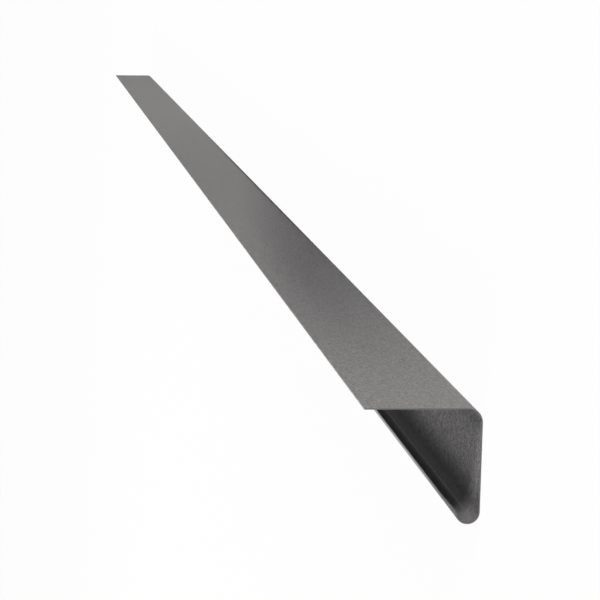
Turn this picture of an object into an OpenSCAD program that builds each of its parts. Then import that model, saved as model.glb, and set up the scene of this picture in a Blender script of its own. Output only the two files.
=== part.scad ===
// Drip edge flashing: a strip of thin galvanised sheet, roll-formed to an angle with a hemmed foot.
// Its flange is nailed flat on the edge of a roof deck, and its face hangs over the board below.
// It lies here as it rests on a floor: on the outer side of its face, with the flange standing up.
// Millimetres. X runs across the face from hem to flange, Y along the strip, and Z up.
// The origin is on the floor, under the middle of the strip's bounding box.

/* [Strip] */
// Length of the strip as it is sold, ten feet
strip_length = 3048; // [300:1:6096]
// Thickness of the sheet, 26 gauge
sheet_thickness = 0.55; // [0.3:0.05:1.2]

/* [Deck flange] */
// Width of the flange, from its free edge to the corner where both outer sides would meet
flange_width = 50.8; // [30:0.1:150]

/* [Face] */
// Width of the face, from the same corner to the outermost point of the hem
face_width = 50; // [35:0.1:150]
// Angle by which the face leans in past square, toward the roof
face_lean = 1; // [0:0.1:15]

/* [Bend] */
// Outer radius of the bend between the flange and the face
bend_radius = 6.2; // [1.5:0.1:12]

/* [Hem] */
// Outer radius of the rolled hem
hem_radius = 5.3; // [1.5:0.1:10]
// Angle through which the hem is rolled: 180 is a half-round
hem_turn = 180; // [90:5:210]

/* [Hidden] */
// Angle between two points of a rolled stretch
arc_step = 5;
// The bend turns the sheet by a right angle and the lean
bend_turn = 90 + face_lean;
// Distance from the outer corner back to where the bend leaves a flat
set_back = bend_radius * tan(bend_turn / 2);
// The flat of the flange, beyond the bend
flange_flat = flange_width - set_back;
// The hem and the bend's crest bound the strip across, and the corner lies a little beyond the crest
across = face_width - (set_back - bend_radius);
hem_centre = [hem_radius - across / 2, hem_radius];
bend_centre = [across / 2 - bend_radius, bend_radius];

// Points of an arc about a centre, from a start angle through a turn
function arc(centre, radius, start, turn) =
    let (steps = ceil(turn / arc_step))
        [for (k = [0:steps])
            let (a = start + turn * k / steps)
                centre + radius * [cos(a), sin(a)]];

// The flange's free edge at a depth in the sheet: straight on from where the bend ends
function free_edge(depth) =
    bend_centre
    + (bend_radius - depth) * [cos(face_lean), sin(face_lean)]
    + flange_flat * [-sin(face_lean), cos(face_lean)];

// One side of the sheet at a depth from its outer side, followed from the hem's lip round the hem,
// along the face, round the bend and up to the flange's free edge
function side(depth) = concat(
    arc(hem_centre, hem_radius - depth, 270 - hem_turn, hem_turn),
    arc(bend_centre, bend_radius - depth, 270, bend_turn),
    [free_edge(depth)]
);

function backwards(points) = [for (k = [len(points) - 1:-1:0]) points[k]];

// The section: out along the outer side of the sheet and back along its inner side
module section() {
    polygon(concat(side(0), backwards(side(sheet_thickness))));
}

// The whole strip, one solid, laid down on the outer side of its face
module drip_edge() {
    color("#86898a")
        rotate([90, 0, 0])
            linear_extrude(strip_length, center = true)
                section();
}

drip_edge();
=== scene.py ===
import math

import bpy
from mathutils import Matrix, Vector


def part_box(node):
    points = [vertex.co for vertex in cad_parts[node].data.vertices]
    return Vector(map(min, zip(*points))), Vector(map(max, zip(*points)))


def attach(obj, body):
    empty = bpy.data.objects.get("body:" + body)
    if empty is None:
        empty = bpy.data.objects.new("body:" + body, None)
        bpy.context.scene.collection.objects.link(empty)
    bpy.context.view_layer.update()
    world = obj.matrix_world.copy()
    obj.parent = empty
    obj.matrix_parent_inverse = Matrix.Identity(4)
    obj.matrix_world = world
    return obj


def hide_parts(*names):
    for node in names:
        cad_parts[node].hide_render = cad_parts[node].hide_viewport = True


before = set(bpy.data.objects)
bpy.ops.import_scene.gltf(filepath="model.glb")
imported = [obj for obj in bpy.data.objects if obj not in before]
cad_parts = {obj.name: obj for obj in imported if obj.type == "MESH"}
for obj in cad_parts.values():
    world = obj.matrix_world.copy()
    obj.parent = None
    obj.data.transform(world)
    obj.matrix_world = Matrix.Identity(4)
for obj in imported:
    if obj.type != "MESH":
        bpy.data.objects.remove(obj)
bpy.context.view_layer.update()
scene = bpy.context.scene
scene.view_settings.view_transform = "Standard"


# Camera
# It looks along the strip from just outside the near end, above the floor and beside the flange.
# It lies on its side, as the strip does, so that the flange is on top in the picture.
CAMERA_PLACE = (0.21968, -2.80290, 0.20366)
CAMERA_HEADING = math.radians(6.688)
CAMERA_PITCH = math.radians(-5.515)
CAMERA_ROLL = math.radians(-88.995)
CAMERA_LENS_MM = 185.18

camera = bpy.data.objects.new("camera", bpy.data.cameras.new("camera"))
camera.data.sensor_width = 36
camera.data.lens = CAMERA_LENS_MM
camera.data.clip_start = 0.05
camera.data.clip_end = 500
camera.matrix_world = (
    Matrix.Translation(CAMERA_PLACE)
    @ Matrix.Rotation(CAMERA_HEADING, 4, "Z")
    @ Matrix.Rotation(math.pi / 2 + CAMERA_PITCH, 4, "X")
    @ Matrix.Rotation(CAMERA_ROLL, 4, "Z")
)
scene.collection.objects.link(camera)
scene.camera = camera


# Drip edge
# One strip of galvanised steel sheet, slit to width and roll-formed along its whole length: the
# hem is curled first, then the flange is turned up over a round bend. Its ends are sheared square.
strip_low, strip_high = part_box("drip_edge")
STRIP_LENGTH = strip_high.y - strip_low.y
SHEET_THICKNESS = 0.00055
FLANGE_WIDTH = 0.0508
FACE_WIDTH = 0.050
FACE_LEAN = math.radians(1)
BEND_RADIUS = 0.0062
HEM_RADIUS = 0.0053
HEM_TURN = math.radians(180)
WELD_DISTANCE = 1e-6
SHARP_ANGLE = math.radians(40)

# The sheet's four zones, from the hem's lip to the flange's free edge, measured on the outer side
bend_turn = math.pi / 2 + FACE_LEAN
set_back = BEND_RADIUS * math.tan(bend_turn / 2)
hem_girth = HEM_RADIUS * HEM_TURN
face_girth = FACE_WIDTH - set_back - HEM_RADIUS
bend_girth = BEND_RADIUS * bend_turn
flange_girth = FLANGE_WIDTH - set_back
hem_centre = Vector((strip_low.x + HEM_RADIUS, 0, HEM_RADIUS))
lip_angle = -math.pi / 2 - HEM_TURN
lip = hem_centre + HEM_RADIUS * Vector((math.cos(lip_angle), 0, math.sin(lip_angle)))


def linear_colour(hex_code):
    """An sRGB hex colour as the linear RGBA that a shader socket takes."""
    parts = [int(hex_code[i : i + 2], 16) / 255 for i in (1, 3, 5)]
    return [c / 12.92 if c <= 0.04045 else ((c + 0.055) / 1.055) ** 2.4 for c in parts] + [1]


def add_node(tree, kind, settings=None, **inputs):
    """Adds a node, applies its settings, and links or sets its inputs by name or number."""
    node = tree.nodes.new(kind)
    for name, value in (settings or {}).items():
        setattr(node, name, value)
    for name, value in inputs.items():
        key = int(name[1:]) if name[0] == "i" and name[1:].isdigit() else name.replace("_", " ")
        if isinstance(value, bpy.types.NodeSocket):
            tree.links.new(value, node.inputs[key])
        else:
            node.inputs[key].default_value = value
    return node


# The roll-former's rule, as a node tree. A flat grid has its columns across the sheet and its rows
# along it. From column to column the sheet runs on by a step and turns by what its zone asks, and
# the steps add up to the section. The thickness is then drawn from the outer to the inner side.
former = bpy.data.node_groups.new("roll_former", "GeometryNodeTree")
former.interface.new_socket("Geometry", in_out="OUTPUT", socket_type="NodeSocketGeometry")
for socket_name, socket_kind in (
    ("Strip length", "NodeSocketFloat"),
    ("Sheet thickness", "NodeSocketFloat"),
    ("Lip", "NodeSocketVector"),
    ("Hem girth", "NodeSocketFloat"),
    ("Face girth", "NodeSocketFloat"),
    ("Bend girth", "NodeSocketFloat"),
    ("Flange girth", "NodeSocketFloat"),
    ("Hem turn", "NodeSocketFloat"),
    ("Bend turn", "NodeSocketFloat"),
    ("Hem columns", "NodeSocketInt"),
    ("Face columns", "NodeSocketInt"),
    ("Bend columns", "NodeSocketInt"),
    ("Flange columns", "NodeSocketInt"),
    ("Rows", "NodeSocketInt"),
    ("Sheet finish", "NodeSocketMaterial"),
    ("Sheared end finish", "NodeSocketMaterial"),
):
    former.interface.new_socket(socket_name, in_out="INPUT", socket_type=socket_kind)
sizes = former.nodes.new("NodeGroupInput").outputs


def reckon(operation, *values):
    """The result of one sum in the roll-former's tree."""
    links = {f"i{k}": value for k, value in enumerate(values)}
    return add_node(former, "ShaderNodeMath", {"operation": operation}, **links).outputs[0]


zones = ("Hem", "Face", "Bend", "Flange")
zone_columns = [sizes[f"{zone} columns"] for zone in zones]
zone_girths = [sizes[f"{zone} girth"] for zone in zones]
zone_starts = [0.0]
for columns in zone_columns:
    zone_starts.append(reckon("ADD", zone_starts[-1], columns))
last_column = zone_starts[-1]


def zone_run(zone, column, whole):
    """What a zone has given up to a column, from nothing at its start to the whole at its end."""
    return add_node(
        former,
        "ShaderNodeMapRange",
        Value=column,
        From_Min=zone_starts[zone],
        From_Max=zone_starts[zone + 1],
        To_Min=0.0,
        To_Max=whole,
    ).outputs["Result"]


def girth_at(column):
    """The distance across the flat sheet from the lip to a column."""
    total = 0.0
    for zone, whole in enumerate(zone_girths):
        total = reckon("ADD", total, zone_run(zone, column, whole))
    return total


def heading_at(column):
    """The sheet's direction at a column: level on the face, past the lip's and before the flange's."""
    unrolled = reckon("SUBTRACT", zone_run(0, column, sizes["Hem turn"]), sizes["Hem turn"])
    return reckon("ADD", unrolled, zone_run(2, column, sizes["Bend turn"]))


def across_and_up(heading, length):
    """The vector of a length at a heading, in the plane of the section."""
    x = reckon("MULTIPLY", reckon("COSINE", heading), length)
    z = reckon("MULTIPLY", reckon("SINE", heading), length)
    return add_node(former, "ShaderNodeCombineXYZ", X=x, Z=z).outputs[0]


grid = add_node(
    former,
    "GeometryNodeMeshGrid",
    Size_X=1.0,
    Size_Y=1.0,
    Vertices_X=reckon("ADD", last_column, 1.0),
    Vertices_Y=sizes["Rows"],
)
share = add_node(former, "ShaderNodeSeparateXYZ", Vector=grid.outputs["UV Map"])
column = reckon("ROUND", reckon("MULTIPLY", share.outputs["X"], last_column))
row = reckon("ROUND", reckon("MULTIPLY", share.outputs["Y"], reckon("SUBTRACT", sizes["Rows"], 1.0)))
along = reckon("MULTIPLY", reckon("SUBTRACT", share.outputs["Y"], 0.5), sizes["Strip length"])
next_column = reckon("ADD", column, 1.0)
here = heading_at(column)
girth_here = girth_at(column)

# A step is the chord of the arc that the sheet follows there, shorter than it by a 24th of the
# square of its turn
arc = reckon("SUBTRACT", girth_at(next_column), girth_here)
turn = reckon("SUBTRACT", heading_at(next_column), here)
shortening = reckon("SUBTRACT", 1.0, reckon("DIVIDE", reckon("MULTIPLY", turn, turn), 24.0))
step = across_and_up(heading_at(reckon("ADD", column, 0.5)), reckon("MULTIPLY", arc, shortening))
steps = add_node(
    former,
    "GeometryNodeAccumulateField",
    {"data_type": "FLOAT_VECTOR", "domain": "POINT"},
    Value=step,
    Group_ID=row,
)
row_start = add_node(
    former,
    "ShaderNodeVectorMath",
    {"operation": "ADD"},
    i0=sizes["Lip"],
    i1=add_node(former, "ShaderNodeCombineXYZ", Y=along).outputs[0],
)
outer_side = add_node(
    former,
    "ShaderNodeVectorMath",
    {"operation": "ADD"},
    i0=steps.outputs["Trailing"],
    i1=row_start.outputs[0],
)
square_to_sheet = reckon("ADD", here, math.pi / 2)
marked = add_node(
    former,
    "GeometryNodeStoreNamedAttribute",
    {"data_type": "FLOAT_VECTOR", "domain": "POINT"},
    Geometry=grid.outputs["Mesh"],
    Name="inward",
    Value=across_and_up(square_to_sheet, sizes["Sheet thickness"]),
)
mapped = add_node(
    former,
    "GeometryNodeStoreNamedAttribute",
    {"data_type": "FLOAT2", "domain": "CORNER"},
    Geometry=marked.outputs[0],
    Name="sheet_metres",
    Value=add_node(former, "ShaderNodeCombineXYZ", X=girth_here, Y=along).outputs[0],
)
formed = add_node(
    former, "GeometryNodeSetPosition", Geometry=mapped.outputs[0], Position=outer_side.outputs[0]
)
inward = add_node(
    former, "GeometryNodeInputNamedAttribute", {"data_type": "FLOAT_VECTOR"}, Name="inward"
)
inner = add_node(
    former,
    "GeometryNodeExtrudeMesh",
    {"mode": "FACES"},
    Mesh=formed.outputs[0],
    Offset=inward.outputs["Attribute"],
    Offset_Scale=1.0,
    Individual=False,
)

# Two marks for the materials: the faces across the strip's ends, and the sheet's inner side
normal = add_node(former, "GeometryNodeInputNormal")
facing = add_node(former, "ShaderNodeSeparateXYZ", Vector=normal.outputs[0])
faces_lengthwise = reckon("GREATER_THAN", reckon("ABSOLUTE", facing.outputs["Y"]), 0.5)
sheared_end = reckon("MULTIPLY", inner.outputs["Side"], faces_lengthwise)
marked_parts = inner.outputs["Mesh"]
for part_name, part in (("sheared_end", sheared_end), ("inner_side", inner.outputs["Top"])):
    marked_parts = add_node(
        former,
        "GeometryNodeStoreNamedAttribute",
        {"data_type": "FLOAT", "domain": "FACE"},
        Geometry=marked_parts,
        Name=part_name,
        Value=part,
    ).outputs[0]
outer = add_node(former, "GeometryNodeFlipFaces", Mesh=formed.outputs[0])
both_sides = add_node(former, "GeometryNodeJoinGeometry")
former.links.new(marked_parts, both_sides.inputs[0])
former.links.new(outer.outputs[0], both_sides.inputs[0])
closed = add_node(
    former,
    "GeometryNodeMergeByDistance",
    Geometry=both_sides.outputs[0],
    Distance=WELD_DISTANCE,
)
realized = add_node(former, "GeometryNodeRealizeInstances", Geometry=closed.outputs[0])
coated = add_node(
    former, "GeometryNodeSetMaterial", Geometry=realized.outputs[0], Material=sizes["Sheet finish"]
)
is_end = add_node(
    former, "GeometryNodeInputNamedAttribute", {"data_type": "FLOAT"}, Name="sheared_end"
)
trimmed = add_node(
    former,
    "GeometryNodeSetMaterial",
    Geometry=coated.outputs[0],
    Selection=is_end.outputs["Attribute"],
    Material=sizes["Sheared end finish"],
)
result = former.nodes.new("NodeGroupOutput")
former.links.new(trimmed.outputs[0], result.inputs[0])

# Galvanised steel, hot-dipped and rolled dull: a grey zinc skin that reflects so broadly that no
# lamp shows in it. The inner side has weathered a shade cooler than the outer. Painted shade lies in
# a long cloud along the flange's foot, nearest the near end, and the zinc is faintly mottled.
OUTER_ZINC = "#7e7d7b"
INNER_ZINC = "#848283"
# The dark tone is for painted shade, the light tone for painted light and highlights
SHADE_ZINC = "#595758"
HIGHLIGHT_ZINC = "#b4b2b3"
ROUGHNESS_LEAST = 0.62
ROUGHNESS_SPREAD = 0.16
galvanised = bpy.data.materials.new("galvanised_steel")
galvanised.use_nodes = True
galvanised.node_tree.nodes.clear()
zinc = galvanised.node_tree


def blend(value, value_from, value_to, share_from, share_to):
    """A share that eases from one amount to another while a value on the sheet runs its range."""
    ends = {"From_Min": value_from, "From_Max": value_to, "To_Min": share_from, "To_Max": share_to}
    settings = {"interpolation_type": "SMOOTHSTEP"}
    return add_node(zinc, "ShaderNodeMapRange", settings, Value=value, **ends).outputs["Result"]


def weigh(operation, *values):
    """The result of one sum in the zinc's tree."""
    links = {f"i{k}": value for k, value in enumerate(values)}
    return add_node(zinc, "ShaderNodeMath", {"operation": operation}, **links).outputs[0]


def around(value, middle, reach, share_outside, share_in_middle):
    """A share that eases from its middle to both sides, as far as its reach."""
    off_middle = weigh("ABSOLUTE", weigh("SUBTRACT", value, middle))
    return blend(off_middle, reach, 0.0, share_outside, share_in_middle)


# Places on the flat sheet, in metres: across it from the hem's lip, up the flange from its foot, and
# along it from the near end
MM = 0.001
bend_start = hem_girth + face_girth
flange_start = bend_start + bend_girth
sheet_width = flange_start + flange_girth
sheet_uv = add_node(zinc, "ShaderNodeUVMap", {"uv_map": "sheet_metres"})
place_on_sheet = add_node(zinc, "ShaderNodeSeparateXYZ", Vector=sheet_uv.outputs["UV"])
across = place_on_sheet.outputs["X"]
up_flange = weigh("SUBTRACT", across, flange_start)
from_near_end = weigh("ADD", place_on_sheet.outputs["Y"], STRIP_LENGTH / 2)
inner_side = add_node(zinc, "ShaderNodeAttribute", {"attribute_name": "inner_side"}).outputs["Fac"]
outer_side = weigh("SUBTRACT", 1.0, inner_side)

# The cloud is painted shade, and it leans: up the flange its middle moves toward the near end, and it
# narrows and fades. A thin veil of painted shade lies over the flange's middle, and a painted dark
# reflection follows the bend there as a dark line.
CLOUD_MIDDLE = 0.65
CLOUD_LEAN = -7.0
CLOUD_REACH = 0.732
CLOUD_TAPER = -6.6
CLOUD_DEPTH = 0.77
CLOUD_DEPTH_AT_EDGE = 0.32
CLOUD_DEPTH_ADDED_AT_BEND = 0.15
VEIL_MIDDLE = 1.074
VEIL_REACH = 1.4
VEIL_DEPTH = 0.34
BEND_LINE_MIDDLE = 1.284
BEND_LINE_REACH = 0.75
BEND_LINE_DEPTH = 1.5
BEND_LINE_DEPTH_AT_ENDS = 0.1
cloud_middle = weigh("MULTIPLY_ADD", up_flange, CLOUD_LEAN, CLOUD_MIDDLE)
cloud_reach = weigh("MULTIPLY_ADD", up_flange, CLOUD_TAPER, CLOUD_REACH)
cloud_depth = weigh(
    "ADD",
    blend(up_flange, -bend_girth, 13 * MM, CLOUD_DEPTH_ADDED_AT_BEND, 0.0),
    blend(up_flange, 15 * MM, 49 * MM, CLOUD_DEPTH, CLOUD_DEPTH_AT_EDGE),
)
# Painted shade along the flange's foot
shade_patch = weigh("MULTIPLY", around(from_near_end, cloud_middle, cloud_reach, 0.0, 1.0), cloud_depth)
veil = around(from_near_end, VEIL_MIDDLE, VEIL_REACH, 0.0, VEIL_DEPTH)
# A painted dark reflection along the bend
dark_bend_reflection = weigh(
    "MULTIPLY",
    blend(up_flange, -3.2 * MM, 0.4 * MM, 1.0, 0.0),
    around(
        from_near_end, BEND_LINE_MIDDLE, BEND_LINE_REACH, BEND_LINE_DEPTH_AT_ENDS, BEND_LINE_DEPTH
    ),
)
# All of this is painted shade, on the outer side only
painted_flange_shade = weigh("MULTIPLY", weigh("ADD", weigh("ADD", shade_patch, veil), dark_bend_reflection), outer_side)

# On its inner side the bend is darkened with painted shade
BEND_SHADE_DEPTH = 0.5
painted_bend_shade = weigh(
    "MULTIPLY",
    blend(across, bend_start - 9 * MM, bend_start + 1 * MM, 0.0, BEND_SHADE_DEPTH),
    blend(up_flange, -4.9 * MM, 2.1 * MM, 1.0, 0.0),
)
inner_bend_shade = weigh("MULTIPLY", painted_bend_shade, inner_side)

# Inside the hem a band of the zinc is painted lighter, as painted light, and a thin painted highlight
# runs along it. The hem's crest and the slit edges are painted bright, as painted highlights. All but
# the slit edges fade toward the near end.
BAND_SHARE = 0.3
BAND_SHARE_AT_END = 0.13
HEM_HIGHLIGHT_PLACE = 11.56 * MM
HEM_HIGHLIGHT_HALF_WIDTH = 0.7 * MM
HEM_HIGHLIGHT_SHARE = 0.9
# Painted light on a band inside the hem
painted_hem_light_band = weigh(
    "MULTIPLY",
    blend(across, 9.5 * MM, 11.5 * MM, 0.0, 1.0),
    blend(across, 15.0 * MM, 18.5 * MM, 1.0, 0.0),
)
# A painted highlight line inside the hem
painted_hem_highlight = around(across, HEM_HIGHLIGHT_PLACE, HEM_HIGHLIGHT_HALF_WIDTH, 0.0, 1.0)
painted_hem_light = weigh(
    "MULTIPLY_ADD",
    painted_hem_highlight,
    blend(from_near_end, 19 * MM, 59 * MM, 0.0, HEM_HIGHLIGHT_SHARE),
    weigh(
        "MULTIPLY",
        painted_hem_light_band,
        blend(from_near_end, 9 * MM, 54 * MM, BAND_SHARE_AT_END, BAND_SHARE),
    ),
)
# A painted highlight along the hem's crest, fading toward the near end
painted_crest_highlight = weigh(
    "MULTIPLY",
    weigh(
        "MULTIPLY",
        blend(across, 0.0, 0.5 * MM, 0.1, 1.0),
        blend(across, 3.5 * MM, 5.5 * MM, 1.0, 0.0),
    ),
    blend(from_near_end, 0.0, 164 * MM, 0.05, 1.0),
)
# With a painted highlight on the flange's free slit edge
painted_edge_highlights = weigh("MAXIMUM", painted_crest_highlight, weigh("GREATER_THAN", across, sheet_width - 0.08 * MM))
painted_light_share = weigh(
    "ADD", weigh("MULTIPLY", painted_hem_light, inner_side), weigh("MULTIPLY", painted_edge_highlights, outer_side)
)

# The dull roller's grain, twice as fine along the strip as across it. It is drawn some five times as
# coarse as it is, and deeper still, so that it shows from two metres off: it looks like thin leather.
# The hem's forming roll has ironed most of it out of the hem. The zinc's tone follows the grain, and
# a wider mottling, more strongly on the inner side.
GRAIN_MM = 1.2
GRAIN_SQUEEZE = 2.0
GRAIN_DEPTH = 1.1 * MM
GRAIN_LEFT_IN_HEM = 0.3
MOTTLE_MM = 6.0
MOTTLE_WEIGHT = 0.34
OUTER_CONTRAST = 2.6
INNER_CONTRAST = 4.5
DARKEST_TONE = 0.2
grain_place = add_node(
    zinc,
    "ShaderNodeVectorMath",
    {"operation": "MULTIPLY"},
    i0=sheet_uv.outputs["UV"],
    i1=(1.0, GRAIN_SQUEEZE, 1.0),
)
grain = add_node(
    zinc,
    "ShaderNodeTexNoise",
    {"noise_dimensions": "2D"},
    Vector=grain_place.outputs[0],
    Scale=1000 / GRAIN_MM,
    Detail=2.0,
    Roughness=0.55,
    Distortion=0.8,
)
mottle = add_node(
    zinc,
    "ShaderNodeTexNoise",
    {"noise_dimensions": "2D"},
    Vector=sheet_uv.outputs["UV"],
    Scale=1000 / MOTTLE_MM,
    Detail=4.0,
    Roughness=0.8,
)
pattern = weigh("MULTIPLY_ADD", mottle.outputs["Fac"], MOTTLE_WEIGHT, grain.outputs["Fac"])
unevenness = weigh("SUBTRACT", pattern, 0.5 + MOTTLE_WEIGHT / 2)
grain_left = blend(across, 10 * MM, 24 * MM, GRAIN_LEFT_IN_HEM, 1.0)
side_contrast = weigh("MULTIPLY_ADD", inner_side, INNER_CONTRAST - OUTER_CONTRAST, OUTER_CONTRAST)
contrast = weigh("MULTIPLY", side_contrast, grain_left)
tone = weigh("MAXIMUM", weigh("MULTIPLY_ADD", unevenness, contrast, 1.0), DARKEST_TONE)

# The tones are laid over each other: painted shade over each side's own zinc, then painted highlights,
# and last the grain's tone. On the bend line the shade share passes 1, and the zinc is darker than its
# shade tone.
painted_shade_share = weigh("ADD", painted_flange_shade, inner_bend_shade)
side_colour = add_node(
    zinc,
    "ShaderNodeMix",
    {"data_type": "RGBA"},
    i0=inner_side,
    i6=linear_colour(OUTER_ZINC),
    i7=linear_colour(INNER_ZINC),
)
# Painted shade over each side's zinc
shaded_zinc = add_node(
    zinc,
    "ShaderNodeMix",
    {"data_type": "RGBA", "clamp_factor": False, "clamp_result": True},
    i0=painted_shade_share,
    i6=side_colour.outputs[2],
    i7=linear_colour(SHADE_ZINC),
)
# Then the painted light and highlights
zinc_colour = add_node(
    zinc,
    "ShaderNodeMix",
    {"data_type": "RGBA"},
    i0=painted_light_share,
    i6=shaded_zinc.outputs[2],
    i7=linear_colour(HIGHLIGHT_ZINC),
)
mottled_zinc = add_node(
    zinc, "ShaderNodeVectorMath", {"operation": "SCALE"}, i0=zinc_colour.outputs[2], Scale=tone
)
grain_height = weigh("MULTIPLY", weigh("SUBTRACT", grain.outputs["Fac"], 0.5), grain_left)
grain_bump = add_node(
    zinc, "ShaderNodeBump", Strength=1.0, Distance=GRAIN_DEPTH, Height=grain_height
)
zinc_roughness = weigh("MULTIPLY_ADD", mottle.outputs["Fac"], ROUGHNESS_SPREAD, ROUGHNESS_LEAST)
zinc_shader = add_node(
    zinc,
    "ShaderNodeBsdfPrincipled",
    Base_Color=mottled_zinc.outputs[0],
    Metallic=1.0,
    Roughness=zinc_roughness,
    Normal=grain_bump.outputs["Normal"],
)
add_node(zinc, "ShaderNodeOutputMaterial", Surface=zinc_shader.outputs[0])

# Sheared steel, at the two ends only: the blade leaves the sheet's core bare, a dull grey line
# with a fine drag along the cut. The slit edges along the strip are smeared over with zinc.
SHEARED_COLOUR = "#7a7876"
DRAG_MM = 0.4
DRAG_DEPTH = 0.1 * MM
CUT_ROUGHNESS_LEAST = 0.4
CUT_ROUGHNESS_SPREAD = 0.3
sheared = bpy.data.materials.new("sheared_steel_edge")
sheared.use_nodes = True
sheared.node_tree.nodes.clear()
cut = sheared.node_tree
cut_place = add_node(cut, "ShaderNodeTexCoord")
drag = add_node(
    cut,
    "ShaderNodeTexNoise",
    Vector=cut_place.outputs["Object"],
    Scale=1000 / DRAG_MM,
    Detail=1.0,
)
drag_bump = add_node(
    cut, "ShaderNodeBump", Strength=0.5, Distance=DRAG_DEPTH, Height=drag.outputs["Fac"]
)
cut_roughness = add_node(
    cut,
    "ShaderNodeMath",
    {"operation": "MULTIPLY_ADD"},
    i0=drag.outputs["Fac"],
    i1=CUT_ROUGHNESS_SPREAD,
    i2=CUT_ROUGHNESS_LEAST,
)
cut_shader = add_node(
    cut,
    "ShaderNodeBsdfPrincipled",
    Base_Color=linear_colour(SHEARED_COLOUR),
    Metallic=1.0,
    Roughness=cut_roughness.outputs[0],
    Normal=drag_bump.outputs["Normal"],
)
add_node(cut, "ShaderNodeOutputMaterial", Surface=cut_shader.outputs[0])

# The strip is formed: enough columns to keep the hem and the bend round, and rows along its length
blank = bpy.data.objects.new("strip_being_formed", bpy.data.meshes.new("flat_sheet"))
scene.collection.objects.link(blank)
forming = blank.modifiers.new("roll_former", "NODES")
forming.node_group = former
sizes_in = {
    "Strip length": STRIP_LENGTH,
    "Sheet thickness": SHEET_THICKNESS,
    "Lip": lip,
    "Hem girth": hem_girth,
    "Face girth": face_girth,
    "Bend girth": bend_girth,
    "Flange girth": flange_girth,
    "Hem turn": HEM_TURN,
    "Bend turn": bend_turn,
    "Hem columns": 60,
    "Face columns": 32,
    "Bend columns": 32,
    "Flange columns": 36,
    "Rows": 65,
    "Sheet finish": galvanised,
    "Sheared end finish": sheared,
}
for item in former.interface.items_tree:
    if item.in_out == "INPUT":
        forming[item.identifier] = sizes_in[item.name]
evaluated = blank.evaluated_get(bpy.context.evaluated_depsgraph_get())
strip_mesh = bpy.data.meshes.new_from_object(evaluated)
bpy.data.objects.remove(blank)
strip_mesh.name = "drip_edge_sheet"
strip = bpy.data.objects.new("drip_edge_sheet", strip_mesh)
scene.collection.objects.link(strip)
strip_mesh.shade_smooth()
strip_mesh.set_sharp_from_angle(angle=SHARP_ANGLE)
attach(strip, "root")
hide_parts("drip_edge")


# Floor and backdrop
# A plain white studio floor, matt and far larger than the strip that lies on it. A low wall, white
# too, closes it all round, so that the strip has the same white behind it from every side.
FLOOR_RADIUS = 60.0
FLOOR_DROP = 0.0002
WALL_HEIGHT = 6.0
WALL_SIDES = 96
FLOOR_COLOUR = "#f2f2f2"
WHITE = "#ffffff"
OWN_WHITE = 0.97
rim_angles = [math.tau * k / WALL_SIDES for k in range(WALL_SIDES)]
rim = [(FLOOR_RADIUS * math.cos(a), FLOOR_RADIUS * math.sin(a)) for a in rim_angles]
backdrop_mesh = bpy.data.meshes.new("floor_and_wall")
backdrop_mesh.from_pydata(
    [(x, y, -FLOOR_DROP) for x, y in rim] + [(x, y, WALL_HEIGHT) for x, y in rim],
    [],
    [tuple(range(WALL_SIDES))]
    + [
        (k, k + WALL_SIDES, (k + 1) % WALL_SIDES + WALL_SIDES, (k + 1) % WALL_SIDES)
        for k in range(WALL_SIDES)
    ],
)
backdrop = bpy.data.objects.new("floor_and_wall", backdrop_mesh)
scene.collection.objects.link(backdrop)

# Matt white paint. To the camera and in reflections it shows nearly all its own even white, and the
# rest is lit paint, which takes the strip's shadow.
painted = bpy.data.materials.new("white_studio_paint")
painted.use_nodes = True
painted.node_tree.nodes.clear()
paint = painted.node_tree
matt = add_node(paint, "ShaderNodeBsdfDiffuse", Color=linear_colour(FLOOR_COLOUR))
white = add_node(paint, "ShaderNodeEmission", Color=linear_colour(WHITE), Strength=1.0)
ray = add_node(paint, "ShaderNodeLightPath")
mirrored = add_node(
    paint,
    "ShaderNodeMath",
    {"operation": "MAXIMUM"},
    i0=ray.outputs["Is Glossy Ray"],
    i1=ray.outputs["Is Transmission Ray"],
)
seen = add_node(
    paint,
    "ShaderNodeMath",
    {"operation": "MAXIMUM"},
    i0=ray.outputs["Is Camera Ray"],
    i1=mirrored.outputs[0],
)
white_share = add_node(
    paint, "ShaderNodeMath", {"operation": "MULTIPLY"}, i0=seen.outputs[0], i1=OWN_WHITE
)
backdrop_look = add_node(
    paint, "ShaderNodeMixShader", i0=white_share.outputs[0], i1=matt.outputs[0], i2=white.outputs[0]
)
add_node(paint, "ShaderNodeOutputMaterial", Surface=backdrop_look.outputs[0])
backdrop_mesh.materials.append(painted)


# Light
# Three softboxes in a dim white studio, all aimed at the near end: a strong one low on the flange's
# side, a weaker one higher up on the hem's side, and a small dim one nearer the strip there. The
# first two stand far enough off to light the whole length evenly.
STUDIO_STRENGTH = 0.26
near_end = Vector((0, strip_low.y, 0))
for name, lamp_place, lamp_size, power in (
    ("key_softbox", Vector((8.4, -6.6, 2.1)), 4.0, 1240.0),
    ("hem_side_softbox", Vector((-6.4, 2.0, 4.0)), 4.0, 330.0),
    ("back_softbox", Vector((-2.2, 0.9, 2.3)), 2.0, 28.0),
):
    softbox = bpy.data.lights.new(name, "AREA")
    softbox.shape = "SQUARE"
    softbox.size = lamp_size
    softbox.energy = power
    lamp = bpy.data.objects.new(name, softbox)
    lamp.location = lamp_place
    lamp.rotation_euler = (near_end - lamp_place).to_track_quat("-Z", "Y").to_euler()
    lamp.visible_camera = False
    scene.collection.objects.link(lamp)

world = bpy.data.worlds.new("studio")
scene.world = world
world.use_nodes = True
world.node_tree.nodes.clear()
studio = world.node_tree
studio_light = add_node(
    studio, "ShaderNodeBackground", Color=linear_colour(WHITE), Strength=STUDIO_STRENGTH
)
add_node(studio, "ShaderNodeOutputWorld", Surface=studio_light.outputs[0])
